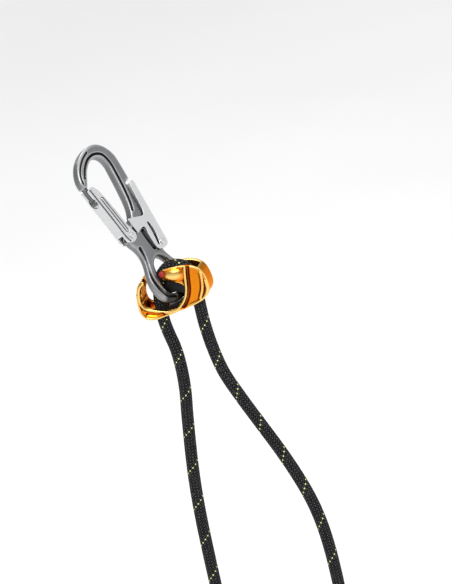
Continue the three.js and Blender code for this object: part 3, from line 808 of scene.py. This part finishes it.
# ---------------------------------------------------------------- hook
BOW_GROOVE = [
    (-18.2, 127.5), (-13.2, 134.6), (-5.6, 140.6), (2.4, 142.2), (10.4, 138.8), (13.9, 129.5),
    (14.1, 118), (13.4, 104), (11.8, 91), (9.8, 83.6),
]
OUTER_GROOVE = [(-22.8, 124), (-20.9, 131.4), (-16.6, 137.6), (-10, 143), (-3, 146.4)]
LEG_GROOVE = [(-4, 51), (-4.2, 45), (-6, 36), (-8.2, 27), (-8.2, 18), (-6, 10), (-2, 4.2), (4.4, 1.2)]
WAIST_POCKET = [(8.2, 62.5), (9.2, 54.5), (10.6, 46.4)]
GATE_LEG_ROOM = (-8, 0, -3.4, 6)  # room for the spring's legs: limits in X and in Z from the pivot
LEVER_LEG_ROOM = (1, 8, -5, 9)
EYE_SHADE = -0.17  # painted shade on the bottom of the eye
EYE_FOOT = (8, -2)
EYE_SHADOW_SPREAD = (13, 8)  # radius of that painted shade round the eye's foot, and how far it fades out round it
IN_GATE_SHADE = -0.09  # painted shade on the nose inside the gate
NOSE_ROOM = (-15, 98, 118)  # the gate covers what lies left of this X and between these heights


def make_hook_body():
    """The forging: rounded from its CAD section, then grooved, with the thin nose joined to it."""
    grid = Grid((-28, -6, -7), (29, 6, 153))
    plate = grid.flat_distance(section("hook_body", HOOK_PLANE, SPRING_SLOT_HALF + 0.1), 1.0)
    roundness = 2 + 1.6 * np.clip((56 - grid.z) / 20, 0, 1)  # more below the waist
    field = extrude(plate, grid.y, HOOK_HALF, roundness)
    low = np.clip((16 - grid.z) / 12, 0, 1)  # the leg's groove grows towards its lower end
    for route, radius, depth in (
        (BOW_GROOVE, 1.2, 1.5),
        (OUTER_GROOVE, 1.0, 0.9),
        (LEG_GROOVE, 1.5 + low, 1.7 + 0.5 * low),
        (WAIST_POCKET, 2.6, 2.4),
    ):
        across = np.abs(grid.y) - HOOK_HALF - radius + depth
        field = smooth_max(field, -grid.tube(route, across, radius), 0.5)

    side, foot, head = NOSE_ROOM
    middle = grid.flat_distance(section("hook_body", HOOK_PLANE, 0.05), 0.6)
    beyond = np.maximum(grid.x - side, foot + 2 - grid.z)
    tongue = extrude(np.maximum(middle, beyond), grid.y, NOSE_HALF, 0.6)
    knob = grid.pin(NOSE_KNOB, NOSE_KNOB_RADIUS, NOSE_KNOB_HALF)
    field = smooth_min(field, smooth_min(tongue, knob, 0.4), 0.6)

    slot = SPRING_SLOT_HALF
    for pivot, (left, right, under, over) in ((GATE_PIVOT, GATE_LEG_ROOM), (LEVER_PIVOT, LEVER_LEG_ROOM)):
        x, z = pivot
        field = np.maximum(field, -grid.pin(pivot, SPRING_SLOT_RADIUS, slot))
        field = np.maximum(field, -grid.pin(pivot, HOLE_RADIUS, 2 * HOOK_HALF))
        field = np.maximum(field, -grid.block((x + left, -slot, z + under), (x + right, slot, z + over)))

    # painted shade on the nose inside the gate
    in_gate = (grid.x < side) & (grid.z < head) & (grid.z > foot)
    # painted shade on the bottom of the eye, fading out round its foot
    from_foot = np.hypot(grid.x - EYE_FOOT[0], grid.z - EYE_FOOT[1])
    eye_shadow = EYE_SHADE + np.clip((from_foot - EYE_SHADOW_SPREAD[0]) / EYE_SHADOW_SPREAD[1], 0, 1)
    shade = np.where(in_gate, IN_GATE_SHADE, eye_shadow)
    dress(grid.mesh("forged_hook", field, HOOK_PLANE, shade), "hook_alloy", "hook", "hook_body")


INNER_SHADE = -0.14  # painted shade on the inside of the gate's sheet and in the lines scored in it
GATE_FOLD = [(-21.5, 116), (-19, 103), (-16.4, 90), (-14.1, 77), (-12.2, 66), (-10.2, 60.6)]
FOLD_RADIUS = 0.62
GATE_LOOP = [(-14.2, 104.6), (-10.6, 86), (-7.6, 70.4)]
LOOP_HALF = 1.25  # half the width of the long loop stamped in each cheek
LOOP_RADIUS = 0.6
KEYHOLE_RADIUS = 4.8
KEYHOLE_SIDE = -14  # the keyhole goes only through what lies left of this X
KEYHOLE_SLOT = ((-30, -3, NOSE_KNOB[1]), (-17.6, 3, 130))
BOTTOM_NOTCH = ((-16, -3.6, 55), (-9.4, 3.6, 67.4))


def with_cheeks(grid, node, back, half, sheet, inset, roundness):
    """A folded sheet: the outline of its back, and a cheek from the CAD's section along each side."""
    side = half - sheet / 2
    cheek = grid.flat_distance(section(node, HOOK_PLANE, side), 0.6)
    field = extrude(back, grid.y, half - inset, 0.4)
    return smooth_min(field, extrude(cheek, np.abs(grid.y) - side, sheet / 2, roundness), 0.5)


def make_gate():
    """The gate: a wall on the outside and a cheek each side, with a keyhole for the nose's knob."""
    grid = Grid((-27, -7.5, 56), (2, 7.5, 121), SHEET_STEP, SHEET_REACH)
    wall = grid.flat_distance(section("gate", HOOK_PLANE, GATE_HALF - GATE_SHEET - 0.1), 0.6)
    field = with_cheeks(grid, "gate", wall, GATE_HALF, GATE_SHEET, 0.2, 0.35)
    loop = np.abs(grid.route_distance(GATE_LOOP) - LOOP_HALF)
    field = smooth_max(field, -(np.hypot(loop, np.abs(grid.y) - GATE_HALF - 0.1) - LOOP_RADIUS), 0.2)
    fold = grid.tube(GATE_FOLD, np.abs(grid.y) - GATE_HALF, FOLD_RADIUS)
    field = smooth_max(field, -fold, 0.2)
    keyhole = np.hypot(grid.y, grid.z - NOSE_KNOB[1]) - KEYHOLE_RADIUS
    keyhole = np.maximum(keyhole, grid.x - KEYHOLE_SIDE)
    field = smooth_max(field, -keyhole, 0.3)
    for opening in (KEYHOLE_SLOT, BOTTOM_NOTCH):
        field = smooth_max(field, -grid.block(*opening), 0.3)

    # painted shade on the sheet's inside, in the fold's line and along the keyhole's edge
    inner = np.maximum(wall + 0.7, np.abs(grid.y) - GATE_HALF + GATE_SHEET - 0.1)
    shaded_lines = (fold < 0.2) | ((np.abs(keyhole) < 0.5) & (wall < 0.3))
    shade = np.where((inner < 0) | shaded_lines, INNER_SHADE, 1)
    dress(grid.mesh("folded_gate", field, HOOK_PLANE, shade), "sheet_steel", "gate", "gate")


def make_lever():
    """The palm lever: its back with the wing, and a slotted cheek each side."""
    grid = Grid((-5, -8.6, 39), (26, 8.6, 109), SHEET_STEP, SHEET_REACH)
    back = grid.flat_distance(section("lock_lever", HOOK_PLANE, 0), 0.3)
    field = with_cheeks(grid, "lock_lever", back, LEVER_HALF, LEVER_SHEET, 0.15, 0.3)
    dress(grid.mesh("folded_lever", field, HOOK_PLANE), "sheet_steel", "lever", "lock_lever")


DOME_END = 1.45  # radians of a dome's arc, just short of its top


def make_rivet(name, node, pivot, half):
    """A rivet through both cheeks, domed at each end."""
    radius, thick = RIVET_HEAD_RADIUS, RIVET_HEAD_THICK
    inner = half + GAP
    dome = [(radius * math.cos(a), inner + thick * math.sin(a)) for a in np.linspace(0, DOME_END, 7)]
    side = [(RIVET_RADIUS, inner), (radius - 0.02, inner)] + dome + [(0, inner + thick)]
    profile = [(r, -y) for r, y in reversed(side)] + side
    dress(lathe(name, profile, pivot, HOOK_PLANE), "sheet_steel", "hook", node)


def make_spring(name, node, pivot, start, leg):
    """A torsion spring: its coil lies round the rivet and a straight leg leaves each end, from an angle."""
    points = []
    turns = np.linspace(0, 1, 32 * SPRING_TURNS + 1)
    width = (SPRING_WIRE + 0.15) * SPRING_TURNS
    for side, share in [(-1, 0.0)] + [(0, t) for t in turns] + [(1, 1.0)]:
        angle = start + 2 * math.pi * SPRING_TURNS * share
        x = SPRING_RADIUS * math.cos(angle) - side * leg * math.sin(angle)
        z = SPRING_RADIUS * math.sin(angle) + side * leg * math.cos(angle)
        points.append((pivot[0] + x, width * (share - 0.5), pivot[1] + z))
    points = placed(points, HOOK_PLANE)
    curve = bpy.data.curves.new(name, "CURVE")
    curve.dimensions = "3D"
    curve.bevel_depth = SPRING_WIRE / 2 * MM
    curve.bevel_resolution = 3
    curve.use_fill_caps = True
    line = curve.splines.new("POLY")
    line.points.add(len(points) - 1)
    for point, place in zip(line.points, points):
        point.co = (*place, 1)
    thing = bpy.data.objects.new(name, curve)
    bpy.context.scene.collection.objects.link(thing)
    dress(thing, "sheet_steel", "hook", node)


# ---------------------------------------------------------------- adjuster
WINDOW_RIM = [
    (-25, 13), (-29, 9), (-31.3, 1), (-31, -6), (-27.6, -11), (-21, -13.6), (-10, -16.1),
    (-1, -15.2), (5, -11.2), (10.2, -4), (12.7, 4), (13.5, 11), (14.2, 17), (15.2, 23.4),
]
LOWER_RIDGE = [
    (-32.6, 2), (-33, -8), (-32.2, -15), (-28.6, -20), (-21.6, -21.4), (-9, -18.6),
    (6.7, -14.1), (20.8, -9.6), (27.6, -5.2), (31.2, 1), (31, 9),
]
CREASE = [(17.4, 23), (16.6, 17), (15.9, 11), (15.1, 4), (12.6, -4), (9.4, -9.6), (6.6, -12.6)]
SIDE_RIB = [(28.2, 17), (28.2, 10), (26.8, 2), (23.4, -6.4)]
RECESS = [(-27, -16.4), (-20, -17.6), (-13, -17.4)]
BULGE = ((3.4, -7.6, 17.6), (10.5, 4.2, 6.2))  # centre and radii of the swelling of the top bar
KEEPER_HOLE = 2.3
FRONT_DEPTH = 3  # how far behind the front face its shades reach
RIM_CLEARANCE = 1.25  # the window's rim keeps its painted golden highlight this far from its middle
CREASE_SHADES = ((3, 0.05), (1.45, -0.09))  # no painted golden highlight near the crease, and painted shade in it
KEEPER_RING = 1.6  # width of the painted shadow round the plug
KEEPER_SHADE = -0.05
WINDOW_SHADE = -0.07  # painted shade on the window's inner walls
WINDOW_DEPTH = 1.8  # how far behind the front face that painted shade starts
WINDOW_CENTRE = (-9.5, -0.7)
WINDOW_RADII = (22.5, 15.5)
WINDOW_MARGIN = 1.03  # as a share of those radii
BAR_HIGHLIGHT = 0.14  # painted highlight on the top bar
BAR_HIGHLIGHT_FADE = 0.06
BAR_HIGHLIGHTED = ((4, -11, 18), (7, 4, 4))  # centre and radii of that painted highlight


def make_adjuster():
    """Two plates joined at both ends, with ridges, a crease and a recess in the front one."""
    grid = Grid((-37, -14.5, -26), (37, 12, 29), reach=1.2)
    plates = []
    for side in (-1, 1):
        cut = section("adjuster_body", ADJUSTER_PLANE, side * (ADJUSTER_HALF - 1.6))
        middle = side * (ADJUSTER_HALF + CHANNEL_HALF) / 2
        thick = (ADJUSTER_HALF - CHANNEL_HALF) / 2
        plates.append(extrude(grid.flat_distance(cut, 1.0), grid.y - middle, thick, 1.2))
    ends = grid.flat_distance(section("adjuster_body", ADJUSTER_PLANE, 0), 1.0)
    field = smooth_min(np.minimum(*plates), extrude(ends, grid.y, ADJUSTER_HALF, 1.8), 1.0)

    front = grid.y + ADJUSTER_HALF
    bulge = np.maximum(grid.ellipsoid(*BULGE), grid.y + CHANNEL_HALF)
    field = smooth_min(field, bulge, 1.5)
    for route, radius, lift in ((WINDOW_RIM, 1.3, -0.3), (LOWER_RIDGE, 1.1, 0.2), (SIDE_RIB, 1.2, 0)):
        field = smooth_min(field, grid.tube(route, front - lift, radius), 0.7)
    for route, radius, lift in ((CREASE, 1.5, 0.3), (RECESS, 1.9, -0.8)):
        field = smooth_max(field, -grid.tube(route, front - lift, radius), 0.9)
    keeper = np.hypot(grid.x - KEEPER[0], grid.z - KEEPER[1]) - KEEPER_HOLE
    field = np.maximum(field, -np.maximum(keeper, grid.y))

    # painted shade in the crease, with no painted highlight beside it
    crease = grid.route_distance(CREASE)
    beside_rim = (front < FRONT_DEPTH) & (grid.route_distance(WINDOW_RIM) > RIM_CLEARANCE)
    shade = 1
    for width, cap in CREASE_SHADES:
        shade = np.where(beside_rim & (crease < width), cap, shade)
    # painted shadow round the plug
    shade = np.where((front < FRONT_DEPTH) & (keeper < KEEPER_RING), KEEPER_SHADE, shade)
    # painted shade on the window's inner walls
    (cx, cz), (rx, rz) = WINDOW_CENTRE, WINDOW_RADII
    in_window = np.hypot((grid.x - cx) / rx, (grid.z - cz) / rz) < WINDOW_MARGIN
    shade = np.where((front > WINDOW_DEPTH) & in_window, WINDOW_SHADE, shade)
    # painted highlight on the top bar
    shine = BAR_HIGHLIGHT - BAR_HIGHLIGHT_FADE * grid.ellipsoid(*BAR_HIGHLIGHTED)
    thing = grid.mesh("anodised_body", field, ADJUSTER_PLANE, shade, shine)
    dress(thing, "adjuster_alloy", "adjuster", "adjuster_body")


CAM_VOXEL = 0.35
CAM_SWELLING = 0.25  # makes up for what the rounding takes off


def make_cam():
    """The cam's faceted solid, rounded over."""
    rough = bpy.data.objects.new("cam_blank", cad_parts["friction_cam"].data.copy())
    bpy.context.scene.collection.objects.link(rough)
    rounding = rough.modifiers.new("rounding", "REMESH")
    rounding.mode = "VOXEL"
    rounding.voxel_size = CAM_VOXEL * MM
    easing = rough.modifiers.new("easing", "SMOOTH")
    easing.factor = 0.5
    easing.iterations = 4
    swelling = rough.modifiers.new("swelling", "DISPLACE")
    swelling.mid_level = 0
    swelling.strength = CAM_SWELLING * MM
    evaluated = rough.evaluated_get(bpy.context.evaluated_depsgraph_get())
    finished = bpy.data.meshes.new_from_object(evaluated)
    bpy.data.objects.remove(rough)
    finished.shade_smooth()
    thing = bpy.data.objects.new("turning_cam", finished)
    bpy.context.scene.collection.objects.link(thing)
    dress(thing, "cam_alloy", "adjuster", "friction_cam")


KEEPER_STEM = 2
KEEPER_HEAD = 2.9
KEEPER_DOME = 1.9


def make_keeper():
    """The plug: a stem in the plate and a domed head in front of it."""
    inner, face = -CHANNEL_HALF, -ADJUSTER_HALF - GAP
    profile = [(0, inner), (KEEPER_STEM - 0.4, inner), (KEEPER_STEM, inner - 0.4)]
    profile += [(KEEPER_STEM, face), (KEEPER_HEAD - 0.05, face)]
    for a in np.linspace(0, DOME_END, 8):
        profile.append((KEEPER_HEAD * math.cos(a), face - 0.3 - KEEPER_DOME * math.sin(a)))
    profile.append((0, face - 0.3 - KEEPER_DOME))
    thing = lathe("red_keeper", profile, KEEPER, ADJUSTER_PLANE)
    dress(thing, "keeper_plastic", "adjuster", "mouth_keeper")


# ---------------------------------------------------------------- studio
FLOOR_Z = cad_box[0].z - 0.05
FLOOR_SIZE = 40
SKY = (  # height of a direction, from 0 level to 1 overhead, and its colour
    (0.0, (0.5, 0.5, 0.505)),
    (0.35, (0.2, 0.2, 0.205)),
    (0.9, (1, 1, 1)),
)
SKY_STRENGTH = 1.3
LAMPS = (  # name, place, size and watts
    ("key", (-0.9, -0.6, 0.9), 0.7, 9),
    ("fill", (0.9, -1.3, 0.3), 2.0, 7),
    ("rim", (0.3, 1.2, 0.8), 0.8, 7),
)
LAMP_TARGET = Vector((0, -0.05, -0.12))


def make_floor():
    shader = Shader("studio_floor", Roughness=0.9)
    clouds = shader.between(shader.noise(3, 2), 0, 1)
    shader.link("Base Color", shader.mix(clouds, (0.9, 0.9, 0.9), (0.93, 0.93, 0.93)))
    bpy.ops.mesh.primitive_plane_add(size=FLOOR_SIZE, location=(0, 0, FLOOR_Z))
    floor = bpy.context.object
    floor.name = "studio_floor"
    floor.data.materials.append(shader.material)


def make_sky():
    """Grey at the horizon, darker above it and white overhead, for the metal to reflect."""
    world = bpy.data.worlds.new("studio")
    bpy.context.scene.world = world
    world.use_nodes = True
    tree = world.node_tree
    background = tree.nodes["Background"]
    ramp = tree.nodes.new("ShaderNodeValToRGB")
    height = tree.nodes.new("ShaderNodeSeparateXYZ")
    direction = tree.nodes.new("ShaderNodeTexCoord")
    tree.links.new(direction.outputs["Generated"], height.inputs[0])
    tree.links.new(height.outputs["Z"], ramp.inputs[0])
    tree.links.new(ramp.outputs[0], background.inputs[0])
    stops = ramp.color_ramp.elements
    stops.new(0.5)
    for stop, (position, color) in zip(stops, SKY):
        stop.position = position
        stop.color = (*color, 1)
    background.inputs[1].default_value = SKY_STRENGTH
    bpy.context.scene.view_settings.view_transform = "Standard"


def make_lamps():
    for name, place, size, energy in LAMPS:
        light = bpy.data.lights.new(name, "AREA")
        light.size = size
        light.energy = energy
        lamp = bpy.data.objects.new(name, light)
        lamp.location = place
        aim = LAMP_TARGET - Vector(place)
        lamp.rotation_mode = "QUATERNION"
        lamp.rotation_quaternion = aim.to_track_quat("-Z", "Y")
        bpy.context.scene.collection.objects.link(lamp)


# ---------------------------------------------------------------- assembly
make_camera()
tail, lead, eye = make_ropes()
tail_sleeve = make_sleeve("tail_stop", "tail_sleeve", TAIL_ROUTE, TAIL_SLEEVE_LENGTH)
lead_sleeve = make_sleeve("eye_seam", "lead_sleeve", LEAD_ROUTE, LEAD_SLEEVE_LENGTH)
thimble = make_thimble()
make_hook_body()
make_gate()
make_lever()
make_rivet("gate_pin", "gate_rivet", GATE_PIVOT, GATE_HALF)
make_rivet("lever_pin", "lever_rivet", LEVER_PIVOT, LEVER_HALF)
make_spring("gate_coil", "gate_spring", GATE_PIVOT, start=math.radians(150), leg=2)
make_spring("lever_coil", "lever_spring", LEVER_PIVOT, start=0, leg=3)
make_adjuster()
make_cam()
make_keeper()
make_floor()
make_sky()
make_lamps()
